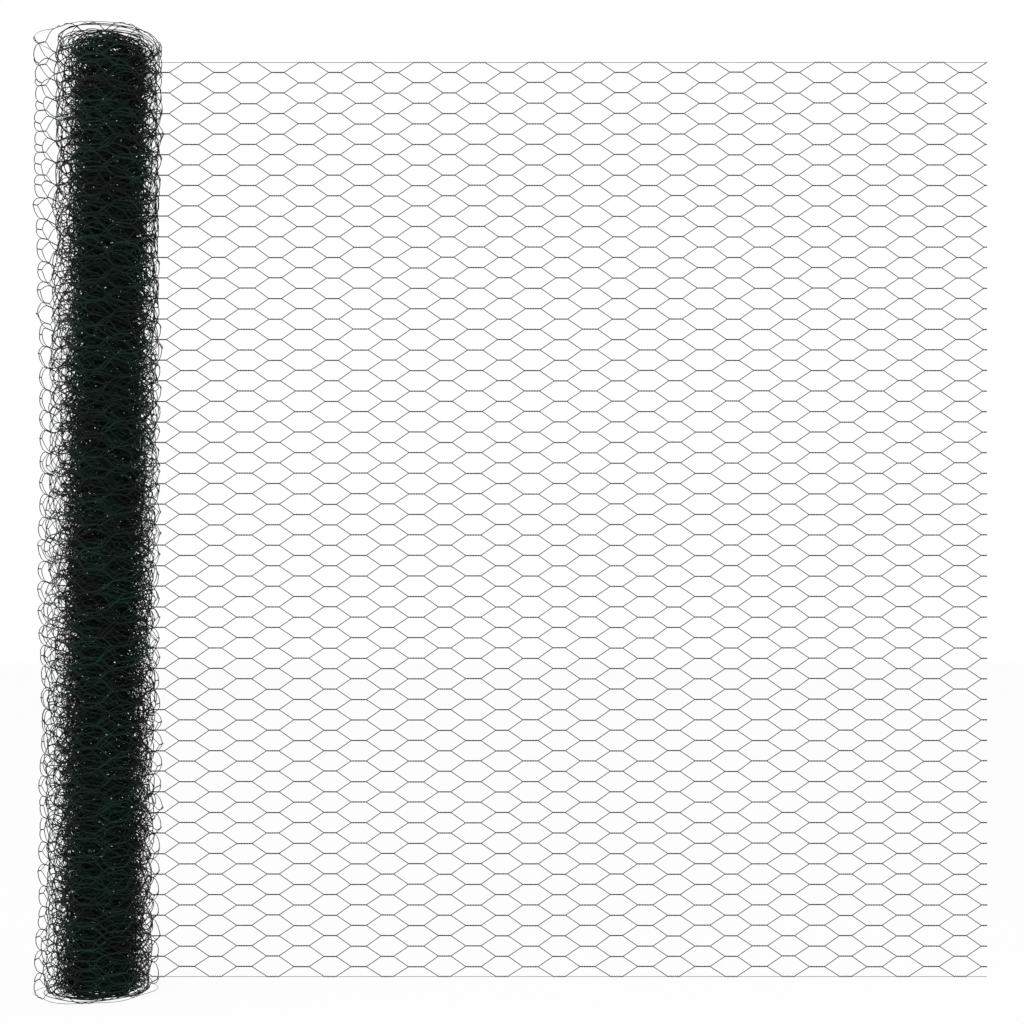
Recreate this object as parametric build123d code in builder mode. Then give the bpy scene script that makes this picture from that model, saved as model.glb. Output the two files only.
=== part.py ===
"""Roll of green plastic-coated hexagonal wire netting, standing on its end, with its free length drawn out.

The netting is one woven piece. Most of it is wound up: that is a turned body with a bore up its middle, whose turns
show as rings on both ends. The rest leaves the wound body at a tangent and stands beside it as a flat sheet of
zigzag wires, each lying against the next where the real pair is twisted together.

Frame: +Z is up the axis of the wound body, the floor is Z = 0, +X is the way the free length runs, and +Y points
from the axis to the free length. Millimetres.
"""

import os
from math import atan2, ceil, cos, sin, sqrt, tan

from build123d import *

# Wire and weave
wire_diameter = 0.8  # over the plastic coating
cell_width = 22.43  # between neighbouring twists, up the roll
cell_repeat = 62.5  # from one twist to the next one in line with it, along the netting
twist_length = 16.4
wire_count = 89  # zigzag wires, from one edge wire to the other

# Free length
free_length = 955.0  # from the tangent line to the cut end
cut_stub = 6.0  # what is left of the last twist at the cut end
band_count = 8  # groups of neighbouring wires
seat_gap = 0.05  # between the wound body and the start of the free length

# Wound body
roll_radius = 62.0
bore_radius = 15.0
ring_pitch = 3.9  # each ring on the ends is three or four turns
groove_width = 1.2  # open between two rings
groove_depth = 11.0
slack_depth = 15.0  # how far in from the outside the slack turns reach
slack_rise = 8.0  # how far the slack turns stand above the tight ones

half_cell = cell_width / 2
half_repeat = cell_repeat / 2
netting_width = wire_count * half_cell + 2 * wire_diameter
free_start = sqrt(roll_radius**2 - (roll_radius - wire_diameter) ** 2) + seat_gap
tight_height = netting_width - slack_rise


def row_height(row):
    """Height of the middle of a row of twists. Row 0 is wound round the lower edge wire."""
    return wire_diameter + row * half_cell


def cell_centres(row):
    """Middles of the cells that lie in line with a row's twists, from the cut end back to the wound body."""
    twist_end = free_length - cut_stub + twist_length / 2
    shift = half_repeat if row % 2 else 0
    count = ceil((free_length - free_start) / cell_repeat) + 1
    return [(twist_end - shift - index * cell_repeat, row_height(row)) for index in range(count)]


def cell_corners():
    """Corners of the hexagonal hole that four wires of one diameter leave between them."""
    tip_reach = half_repeat - twist_length / 2
    slope = atan2(half_cell - wire_diameter, tip_reach - twist_length / 2)
    bend_rise = wire_diameter / 2 * (1 - cos(slope))
    bend_reach = tip_reach - wire_diameter / 2 * sin(slope)
    hole_height = half_cell - wire_diameter
    tip = bend_reach + bend_rise / tan(slope)
    shoulder = bend_reach - (hole_height - bend_rise) / tan(slope)
    return [
        (tip, 0),
        (shoulder, hole_height),
        (-shoulder, hole_height),
        (-tip, 0),
        (-shoulder, -hole_height),
        (shoulder, -hole_height),
    ]


def wound_roll():
    """The wound netting: a turned body whose slack outer turns stand above the tight ones."""
    ring_count = round((roll_radius - bore_radius) / ring_pitch)
    grooves = [roll_radius - ring_pitch * (ring + 1) + groove_width / 2 for ring in range(ring_count)]
    slack_radius = roll_radius - slack_depth
    with BuildPart() as roll:
        with BuildSketch(Plane.XZ) as profile:
            with Locations((bore_radius, 0)):
                Rectangle(roll_radius - bore_radius, netting_width, align=(Align.MIN, Align.MIN))
            with Locations((bore_radius, tight_height)):
                Rectangle(slack_radius - bore_radius, slack_rise, align=(Align.MIN, Align.MIN), mode=Mode.SUBTRACT)
            with Locations(*[(radius, 0) for radius in grooves if radius > bore_radius + groove_width]):
                Rectangle(groove_width, groove_depth, align=(Align.CENTER, Align.MIN), mode=Mode.SUBTRACT)
            with Locations(*[(radius, netting_width) for radius in grooves if radius > bore_radius + groove_width]):
                Rectangle(groove_width, slack_rise + groove_depth, align=(Align.CENTER, Align.MAX), mode=Mode.SUBTRACT)
        revolve(axis=Axis.Z)
    return roll.part


def netting_band(first_row, last_row):
    """The wires between two rows of twists, with the edge wire where the band reaches an edge."""
    low = row_height(first_row)
    high = row_height(last_row)
    holes = [centre for row in range(first_row, last_row + 1) for centre in cell_centres(row)]
    with BuildPart() as band:
        with BuildSketch(Plane.XZ.offset(-roll_radius)) as wires:
            with Locations((free_start, low)):
                Rectangle(free_length - free_start, high - low, align=(Align.MIN, Align.MIN))
            with Locations(*holes):
                Polygon(*cell_corners(), align=None, mode=Mode.SUBTRACT)
            if first_row == 0:
                with Locations((free_start, low)):
                    Rectangle(free_length - free_start, wire_diameter, align=(Align.MIN, Align.MAX))
            if last_row == wire_count:
                with Locations((free_start, high)):
                    Rectangle(free_length - free_start, wire_diameter, align=(Align.MIN, Align.MIN))
        extrude(amount=wire_diameter, clean=False)
    return band.part


os.makedirs("parts", exist_ok=True)

roll = wound_roll()
roll.label = "wound_roll"
export_step(roll, "parts/wound_roll.step")

for number in range(band_count):
    first_row = round(number * wire_count / band_count)
    last_row = round((number + 1) * wire_count / band_count)
    band = netting_band(first_row, last_row)
    band.label = f"free_netting_{number + 1}"
    export_step(band, f"parts/{band.label}.step")
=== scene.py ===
"""Looks of a standing roll of green coated hexagonal wire netting with its free length drawn out.

Every wire is followed along the netting, from the cut end, up to the wound body at a tangent, and round it
turn by turn. A place on the netting is (along, height, off): metres from the cut end, metres above the floor,
and metres off the netting's middle, outwards on the wound body. The function place() puts such a place in the
frame.
"""

from math import pi

import bpy
import numpy as np
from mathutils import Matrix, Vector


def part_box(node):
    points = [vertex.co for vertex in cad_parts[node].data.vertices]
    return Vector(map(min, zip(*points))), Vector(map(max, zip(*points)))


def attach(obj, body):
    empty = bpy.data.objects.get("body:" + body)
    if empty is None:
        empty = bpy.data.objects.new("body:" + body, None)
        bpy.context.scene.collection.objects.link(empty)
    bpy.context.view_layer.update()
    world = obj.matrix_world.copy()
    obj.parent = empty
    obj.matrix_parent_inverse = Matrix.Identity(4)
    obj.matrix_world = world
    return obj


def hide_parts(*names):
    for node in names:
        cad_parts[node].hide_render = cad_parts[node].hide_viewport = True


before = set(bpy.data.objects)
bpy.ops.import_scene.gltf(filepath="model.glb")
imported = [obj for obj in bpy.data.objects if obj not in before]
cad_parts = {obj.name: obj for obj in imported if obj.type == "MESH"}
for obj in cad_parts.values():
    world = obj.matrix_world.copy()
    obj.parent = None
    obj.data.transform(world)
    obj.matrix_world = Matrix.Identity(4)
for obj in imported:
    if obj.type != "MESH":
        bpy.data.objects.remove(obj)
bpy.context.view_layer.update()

# Sizes taken from the frame
roll_low, roll_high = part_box("wound_roll")
band_count = sum(name.startswith("free_netting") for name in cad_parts)
band_low, band_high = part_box("free_netting_1")
wire_radius = (band_high[1] - band_low[1]) / 2
netting_width = roll_high[2] - roll_low[2]
tangent_radius = roll_high[1] - wire_radius
free_length = band_high[0]

# Weave, in metres
wire_count = 89
cell_repeat = 0.0625
half_repeat = cell_repeat / 2
half_cell = (netting_width - 4 * wire_radius) / wire_count
twist_lengths = (0.0174, 0.0144)  # every second column of twists is shorter
mean_twist = sum(twist_lengths) / 2
cut_stub = 0.006  # about what is left of the last twist at the cut end
strand_turns = 3  # how often the wires of a free twist go round each other
slack_strand_turns = 2  # the same in the two outermost turns, which have fewer points
edge_wraps = 6  # how often an outermost wire goes round the edge wire at a twist of the free length
edge_thinness = 0.6  # edge wires of the free length and the outermost turn, against the other wires
twist_spread = 0.8  # how far the wires of a free twist stand off its middle, in wire radii
free_shake = 0.00015  # how unevenly the free twists lie
top_lean = 0.0055  # how far the columns of twists lean towards the cut end at the top edge
lean_start = 0.5  # share of the height at which that lean begins
tangent_margin = 0.010  # the last free column of twists lies at least this far from the tangent

# Winding: the radius at a few turns counted from the outside, in metres
turn_total = 40
turn_marks = (0, 1, 2, 3, 4, 5, 7, 12, turn_total)
turn_radii = (tangent_radius, 0.0565, 0.0536, 0.0500, 0.0466, 0.0440, 0.0410, 0.0354, 0.0155)
slack_turns = 10  # turns outside the tight ones
inner_gap = 0.1  # part of the innermost turn that is left out
angle_step = 0.01  # radians between the entries in the table of the winding
front_reach = 0.0640  # the furthest that the middle of a wire stands from the axis at the front

# Bends of a slack wire on its way from one twist to the next
bend_along = (0.2, 0.5, 0.8)  # shares of its way along the netting
bend_across = (0.1, 0.5, 0.9)  # shares of its rise or fall there
bend_off = (0.0008, 0.0013, 0.0008)  # how far it stands out there

# Lie of the tight turns
core_shift = 0.0046  # how far they stand towards the free length at the foot
core_lean = 0.0105  # how much further they lean that way at the top
core_spread = 0.0025  # how much wider they are at the foot
core_drop = 0.0125  # how much lower they end at the top
end_ragged = 0.0045  # half of the unevenness of their ends
ragged_rate = 1.37  # waves of those ends in a turn
settle_turns = 4  # turns from the outside over which the spread, the drop and the uneven ends come in

# Uneven lie of every turn
begin_turns = 0.25  # part of the outermost turn over which it sets in
row_bow = 0.005  # size of each wave of the rows up and down
bows = ((0.83, 0), (2.3, 4))  # waves in a turn, and radians that they shift from foot to top
bow_power = 8  # the higher, the closer to the edges the bows end

# Lie of the slack turns
fade_turns = 3  # turns over which the wavers and scallops fade
slack_waver = 0.0008  # size of each wave in and out
wavers = ((3, 11), (5, -17), (1.7, 29))  # as for the bows
scallop = 0.0017  # half the depth of the scallops, in which every second column of twists stands out
scallop_sink = 0.8  # how far inside the turn's radius their middle lies, in half depths

# Dip of the outermost turn at its top, a little left of the front
corner_dip = 0.005
dip_turn = 0.41
dip_spread = 0.06
dip_power = 6  # the higher, the closer the dip keeps to the top edge

# Slip of the outermost turn at its lower right, where its scallops are up to twice as deep
foot_slip = 0.2  # radians that it lags
slip_turn = 0.75
slip_spread = 0.3
slip_height = 0.35  # share of the height

# Bulges of single turns: turn, its spread, share of the height, its spread, and size in metres
bulges = (
    (0.25, 0.15, 1.0, 0.30, 0.0068),
    (0.25, 0.13, 0.25, 0.22, -0.0018),
    (0.35, 0.09, 0.0, 0.12, 0.0042),
    (0.50, 0.15, 0.0, 0.07, 0.0055),
    (0.79, 0.13, 0.2, 0.25, 0.0045),
    (1.25, 0.15, 0.4, 0.30, 0.0045),
    (1.75, 0.15, 0.4, 0.50, -0.0042),
    (2.25, 0.15, 0.4, 0.35, 0.0020),
    (2.75, 0.15, 0.4, 0.50, -0.0030),
    (1.25, 0.20, 1.0, 0.50, -0.0060),
)

# Colours, linear
near_black = (0.003, 0.008, 0.006, 1)
deep_green = (0.004, 0.024, 0.017, 1)
pale_grey = (0.9, 0.9, 0.9, 1)
plain_white = (1, 1, 1, 1)

# Stage
floor_glow = 0.95  # share of plain white in the floor that the camera sees


def row_height(row):
    """Height of a row of twists. Row 0 is at the lower edge."""
    return 2 * wire_radius + row * half_cell


def winding_radius(turn):
    """Distance of the winding from its axis."""
    return np.interp(turn, turn_marks, turn_radii)


def winding_table():
    """Angle of the winding against the length of netting wound since the tangent."""
    angle = np.arange(0, turn_total * 2 * pi, angle_step)
    radius = winding_radius(angle / (2 * pi))
    length = np.concatenate([[0], np.cumsum((radius[1:] + radius[:-1]) / 2 * angle_step)])
    return length, angle


wound_length, wound_angle = winding_table()

rng = np.random.default_rng(seed=7)
wave_phases = rng.uniform(0, 2 * pi, 6)
twist_total = int((free_length + wound_length[-1]) / half_repeat) + 2
place_jitter = rng.normal(0, 1, (twist_total, wire_count + 1, 2))


def waves(rates, phases, angle, share):
    """Sum of waves round the winding, each shifted from foot to top."""
    return sum(np.sin(rate * angle + shift * share + phase) for (rate, shift), phase in zip(rates, phases))


def angle_at(along):
    """Angle of the winding at each place, 0 on the free length."""
    return np.interp(np.maximum(along - free_length, 0), wound_length, wound_angle)


def place(along, height, off):
    """Points in the frame for places on the netting."""
    angle = angle_at(along)
    turn = angle / (2 * pi)
    share = height / netting_width
    inner = 1 - np.exp(-turn)
    begun = np.minimum(turn / begin_turns, 1)
    fade = np.exp(-turn / fade_turns)
    settled = 1 - np.exp(-((turn / settle_turns) ** 2))
    waver = slack_waver * (fade * begun) * waves(wavers, wave_phases[:3], angle, share)
    rise = end_ragged * settled * (1 + np.sin(ragged_rate * angle + wave_phases[5]))
    dip = corner_dip * np.exp(-(((turn - dip_turn) / dip_spread) ** 2)) * share**dip_power
    bow = row_bow * begun * (1 - (2 * share - 1) ** bow_power) * waves(bows, wave_phases[3:5], angle, share)
    lag = np.exp(-(((turn - slip_turn) / slip_spread) ** 2) - (share / slip_height) ** 2)
    scallops = np.cos(2 * pi * along / cell_repeat) - scallop_sink
    ripple = scallop * (1 + lag) * begun * fade * scallops
    radius = winding_radius(turn) + ripple + core_spread * settled * (1 - share**2) + waver + off
    for turn_at, turn_spread, share_at, share_spread, size in bulges:
        reach = ((turn - turn_at) / turn_spread) ** 2 + ((share - share_at) / share_spread) ** 2
        radius = radius + size * begun * np.exp(-reach)
    angle = angle - foot_slip * lag
    x = np.maximum(free_length - along, 0) - radius * np.sin(angle) + (core_shift + core_lean * share) * inner
    y = np.clip(radius * np.cos(angle), -front_reach, tangent_radius + 2 * wire_radius)
    z = height - core_drop * settled * share + rise - dip + bow
    return np.stack([x, y, z], axis=-1)


def outward(along):
    """Direction off the netting at each place."""
    angle = angle_at(along)
    return np.stack([-np.sin(angle), np.cos(angle), np.zeros_like(angle)], axis=-1)


def twist_centre(twist, height):
    """Where a column of twists lies along the netting. The columns lean near the top edge."""
    lean = top_lean * np.clip((height / netting_width - lean_start) / (1 - lean_start), 0, 1)
    return cut_stub - mean_twist / 2 + twist * half_repeat - lean


def wire_places(wires, first_twist, last_twist, twist_steps, turns, wraps, spread, shake):
    """Places along each wire from one column of twists to another: arrays of (wires, steps).

    At a twist a wire makes turns round its neighbour, at spread wire radii from the middle, and at an edge it
    makes wraps round the edge wire.
    """
    along, height, off = [], [], []
    wires = np.asarray(wires)
    for twist in range(first_twist, last_twist + 1):
        odd_row = twist % 2 == 0
        row = np.where((wires % 2 == 1) == odd_row, wires, wires + 1)
        side = np.where(row == wires, 1.0, -1.0)
        jitter = place_jitter[twist, row] * shake
        at_edge = (row == 0) | (row == wire_count)
        middle = row_height(row) + np.where(at_edge, side * wire_radius, jitter[:, 1])
        reach = np.where(at_edge, 1 + edge_thinness, spread) * wire_radius
        rounds = np.where(at_edge, wraps, turns)
        centre = twist_centre(twist, middle) + jitter[:, 0]
        length = twist_lengths[twist % 2]
        start = np.maximum(-length / 2, -centre)
        step = np.linspace(0, 1, twist_steps + 1)
        offset = start[:, None] + (length / 2 - start[:, None]) * step
        spin = 2 * pi * rounds[:, None] * (offset / length + 0.5)
        along.append(centre[:, None] + offset)
        height.append(middle[:, None] + (side * reach)[:, None] * np.cos(spin))
        off.append(jitter[:, :1] + (side * reach)[:, None] * np.sin(spin))
    return [np.concatenate(part, axis=1) for part in (along, height, off)]


def add_bends(part, twist_steps, shares, shifts=(0, 0, 0)):
    """The same places, with points added between twists at these shares of the way, moved by these shifts."""
    blocks = part.reshape(len(part), -1, twist_steps + 1)
    left = blocks[:, :-1, -1:]
    reached = blocks[:, 1:, :1]
    between = left + (reached - left) * np.array(shares) + np.array(shifts)
    spare = np.repeat(blocks[:, -1:, -1:], len(shares), axis=2)
    between = np.concatenate([between, spare], axis=1)
    return np.concatenate([blocks, between], axis=2).reshape(len(part), -1)[:, : -len(shares)]


def tubes(points, outwards, radius, sides):
    """Vertices and faces of closed tubes along (paths, steps, 3) points, as wide on average as round ones."""
    radius = radius * pi / (sides * np.sin(pi / sides))
    along = np.gradient(points, axis=1)
    along /= np.linalg.norm(along, axis=2, keepdims=True)
    across = np.cross(along, outwards)
    across /= np.linalg.norm(across, axis=2, keepdims=True)
    up = np.cross(across, along)
    angle = np.arange(sides) / sides * 2 * pi
    ring = np.cos(angle)[:, None] * up[:, :, None] + np.sin(angle)[:, None] * across[:, :, None]
    vertices = (points[:, :, None] + radius * ring).reshape(-1, 3)
    paths, steps = points.shape[:2]
    index = np.arange(paths * steps * sides).reshape(paths, steps, sides)
    here = index[:, :-1]
    ahead = index[:, 1:]
    turned = np.roll(here, -1, axis=2)
    ahead_turned = np.roll(ahead, -1, axis=2)
    quads = np.stack([here, turned, ahead_turned, ahead], axis=-1).reshape(-1, 4)
    caps = np.concatenate([index[:, 0, ::-1], index[:, -1]])
    return vertices, quads, caps


def netting_piece(name, groups, nodes):
    """One mesh of wires, from groups of tubes."""
    vertices, loops, sizes = [], [], []
    base = 0
    for points, quads, caps in groups:
        vertices.append(points)
        for faces in (quads, caps):
            loops.append((faces + base).ravel())
            sizes.append(np.full(len(faces), faces.shape[1]))
        base += len(points)
    vertices, loops, sizes = (np.concatenate(part) for part in (vertices, loops, sizes))
    starts = np.concatenate([[0], np.cumsum(sizes)[:-1]])
    mesh = bpy.data.meshes.new(name)
    mesh.vertices.add(len(vertices))
    mesh.vertices.foreach_set("co", vertices.ravel())
    mesh.loops.add(len(loops))
    mesh.loops.foreach_set("vertex_index", loops.astype(np.int32))
    mesh.polygons.add(len(sizes))
    mesh.polygons.foreach_set("loop_start", starts.astype(np.int32))
    mesh.polygons.foreach_set("loop_total", sizes.astype(np.int32))
    mesh.polygons.foreach_set("use_smooth", np.ones(len(sizes), dtype=bool))
    mesh.update(calc_edges=True)
    mesh.validate()
    mesh.materials.append(coated_wire)
    piece = bpy.data.objects.new(name, mesh)
    bpy.context.collection.objects.link(piece)
    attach(piece, "root")
    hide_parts(*nodes)


def strands(wires, first_twist, last_twist, twist_steps, sides, turns, wraps, spread, shake, bent):
    """Tubes of the zigzag wires from one column of twists to another. Bent ones curve between twists."""
    along, height, off = wire_places(wires, first_twist, last_twist, twist_steps, turns, wraps, spread, shake)
    if bent:
        along = add_bends(along, twist_steps, bend_along)
        height = add_bends(height, twist_steps, bend_across)
        off = add_bends(off, twist_steps, bend_along, bend_off)
    return tubes(place(along, height, off), outward(along), wire_radius, sides)


def edge_wire(upper, start, end, spacing, sides, thickness):
    """Tube of the straight wire along one edge of the netting."""
    along = np.linspace(start, end, max(2, round((end - start) / spacing)))[None]
    level = netting_width - 3 * wire_radius if upper else 3 * wire_radius
    height = np.full_like(along, level)
    return tubes(place(along, height, 0 * along), outward(along), thickness * wire_radius, sides)


def coated_wire_material():
    """Dark green plastic coating: near black, with deeper green patches and a fine drawn surface."""
    material = bpy.data.materials.new("coated_wire")
    material.use_nodes = True
    nodes, links = material.node_tree.nodes, material.node_tree.links
    shader = nodes["Principled BSDF"]
    shader.inputs["Specular IOR Level"].default_value = 0.22
    spot = nodes.new("ShaderNodeTexCoord")
    patches = nodes.new("ShaderNodeTexNoise")
    patches.inputs["Scale"].default_value = 28
    patches.inputs["Detail"].default_value = 4
    colours = nodes.new("ShaderNodeValToRGB")
    colours.color_ramp.elements[0].position = 0.38
    colours.color_ramp.elements[0].color = near_black
    colours.color_ramp.elements[1].position = 0.66
    colours.color_ramp.elements[1].color = deep_green
    grain = nodes.new("ShaderNodeTexNoise")
    grain.inputs["Scale"].default_value = 900
    gloss = nodes.new("ShaderNodeMapRange")
    gloss.inputs["To Min"].default_value = 0.30
    gloss.inputs["To Max"].default_value = 0.52
    bump = nodes.new("ShaderNodeBump")
    bump.inputs["Strength"].default_value = 0.15
    bump.inputs["Distance"].default_value = 0.0002
    for texture in (patches, grain):
        links.new(spot.outputs["Object"], texture.inputs["Vector"])
    links.new(patches.outputs["Fac"], colours.inputs["Fac"])
    links.new(colours.outputs["Color"], shader.inputs["Base Color"])
    links.new(grain.outputs["Fac"], gloss.inputs["Value"])
    links.new(gloss.outputs["Result"], shader.inputs["Roughness"])
    links.new(grain.outputs["Fac"], bump.inputs["Height"])
    links.new(bump.outputs["Normal"], shader.inputs["Normal"])
    return material


coated_wire = coated_wire_material()

# Free length: whole wires in the bands that the frame has, up to the last column before the tangent
last_free_twist = int((free_length - tangent_margin - cut_stub) / half_repeat)
free_wires = {"sides": 4, "turns": strand_turns, "spread": twist_spread, "shake": free_shake, "bent": False}
for band in range(band_count):
    first_row = round(band * wire_count / band_count)
    last_row = round((band + 1) * wire_count / band_count)
    inside = [wire for wire in range(first_row, last_row) if 0 < wire < wire_count - 1]
    parts = [strands(inside, 0, last_free_twist, twist_steps=15, wraps=0, **free_wires)]
    if band in (0, band_count - 1):
        outermost = [0 if band == 0 else wire_count - 1]
        parts.append(strands(outermost, 0, last_free_twist, twist_steps=24, wraps=edge_wraps, **free_wires))
        parts.append(edge_wire(band > 0, 0, free_length, spacing=0.02, sides=6, thickness=edge_thinness))
    netting_piece(f"netting_free_{band + 1}", parts, [f"free_netting_{band + 1}"])


def turn_start(turn):
    """How far along the netting a turn starts."""
    return free_length + np.interp(turn * 2 * pi, wound_angle, wound_length)


def wound_piece(name, first_turn, last_turn, twist_steps, sides, turns, shake, bent):
    """A run of turns of the wound body, with both its edge wires."""
    start = turn_start(first_turn)
    end = turn_start(last_turn)
    first = max(last_free_twist, int((start - cut_stub) / half_repeat))
    last = int((end - cut_stub) / half_repeat)
    parts = [strands(range(wire_count), first, last, twist_steps, sides, turns, turns, 1, shake, bent)]
    thickness = edge_thinness if first_turn == 0 else 1
    for upper in (False, True):
        parts.append(edge_wire(upper, start, end, spacing=0.004, sides=4, thickness=thickness))
    netting_piece(name, parts, ["wound_roll"])


# Wound body: name, first and last turn, steps of a twist, sides of a wire, turns of a twist, shake, bent
tight_middle = (slack_turns + turn_total) / 2
wound_piece("turn_1", 0, 1, 8, 4, slack_strand_turns, 0.0011, True)
wound_piece("turn_2", 1, 2, 8, 4, slack_strand_turns, 0.0020, True)
wound_piece("turns_3_5", 2, 5, 4, 4, 1, 0.0024, True)
wound_piece("turns_6_10", 5, slack_turns, 1, 3, 0, 0.0022, False)
wound_piece("tight_outer_turns", slack_turns, tight_middle, 1, 3, 0, 0.0012, False)
wound_piece("tight_inner_turns", tight_middle, turn_total - inner_gap, 1, 3, 0, 0.0010, False)


def pale_floor():
    """Pale floor that keeps the roll's shadow and looks nearly white to the camera."""
    bpy.ops.mesh.primitive_plane_add(size=30)
    floor = bpy.context.object
    floor.name = "floor"
    material = bpy.data.materials.new("pale_floor")
    material.use_nodes = True
    nodes, links = material.node_tree.nodes, material.node_tree.links
    shader = nodes["Principled BSDF"]
    shader.inputs["Base Color"].default_value = pale_grey
    shader.inputs["Roughness"].default_value = 0.9
    glow = nodes.new("ShaderNodeEmission")
    rays = nodes.new("ShaderNodeLightPath")
    mix = nodes.new("ShaderNodeMixShader")
    seen = nodes.new("ShaderNodeMath")
    seen.operation = "MULTIPLY"
    seen.inputs[1].default_value = floor_glow
    links.new(rays.outputs["Is Camera Ray"], seen.inputs[0])
    links.new(seen.outputs["Value"], mix.inputs["Fac"])
    links.new(shader.outputs["BSDF"], mix.inputs[1])
    links.new(glow.outputs["Emission"], mix.inputs[2])
    links.new(mix.outputs["Shader"], nodes["Material Output"].inputs["Surface"])
    floor.data.materials.append(material)


def white_surroundings():
    """Soft light from all round, and plain white where the camera looks past the roll."""
    world = bpy.data.worlds.new("studio")
    bpy.context.scene.world = world
    world.use_nodes = True
    nodes, links = world.node_tree.nodes, world.node_tree.links
    dim = nodes["Background"]
    dim.inputs["Color"].default_value = plain_white
    dim.inputs["Strength"].default_value = 0.6
    white = nodes.new("ShaderNodeBackground")
    white.inputs["Color"].default_value = plain_white
    rays = nodes.new("ShaderNodeLightPath")
    mix = nodes.new("ShaderNodeMixShader")
    links.new(rays.outputs["Is Camera Ray"], mix.inputs["Fac"])
    links.new(dim.outputs["Background"], mix.inputs[1])
    links.new(white.outputs["Background"], mix.inputs[2])
    links.new(mix.outputs["Shader"], nodes["World Output"].inputs["Surface"])


def soft_lamps():
    """Two soft lamps in front of the roll."""
    # Name, place, turn in radians, and watts
    lamps = (
        ("key", (-1.4, -2.2, 2.2), (0.85, 0, -0.55), 40),
        ("fill", (2.2, -1.8, 1.4), (1.1, 0, 0.85), 18),
    )
    for name, spot, turn, watts in lamps:
        lamp = bpy.data.lights.new(name, "AREA")
        lamp.size = 1.6
        lamp.energy = watts
        holder = bpy.data.objects.new(name, lamp)
        holder.location = spot
        holder.rotation_euler = turn
        bpy.context.collection.objects.link(holder)


def photo_camera():
    """Camera in front of the roll, low and level, looking square at the free length."""
    frame_px = 1024
    focal_px = 1574
    level_px = 626.6  # row of the picture at the camera's own height
    lens = bpy.data.cameras.new("camera")
    lens.sensor_width = 36
    lens.lens = focal_px / frame_px * lens.sensor_width
    lens.shift_y = (level_px - frame_px / 2) / frame_px
    camera = bpy.data.objects.new("camera", lens)
    camera.location = (0.4367, -1.656, 0.383)
    camera.rotation_euler = (pi / 2, 0, 0)
    bpy.context.collection.objects.link(camera)
    bpy.context.scene.camera = camera


pale_floor()
white_surroundings()
soft_lamps()
photo_camera()
bpy.context.scene.view_settings.view_transform = "Standard"
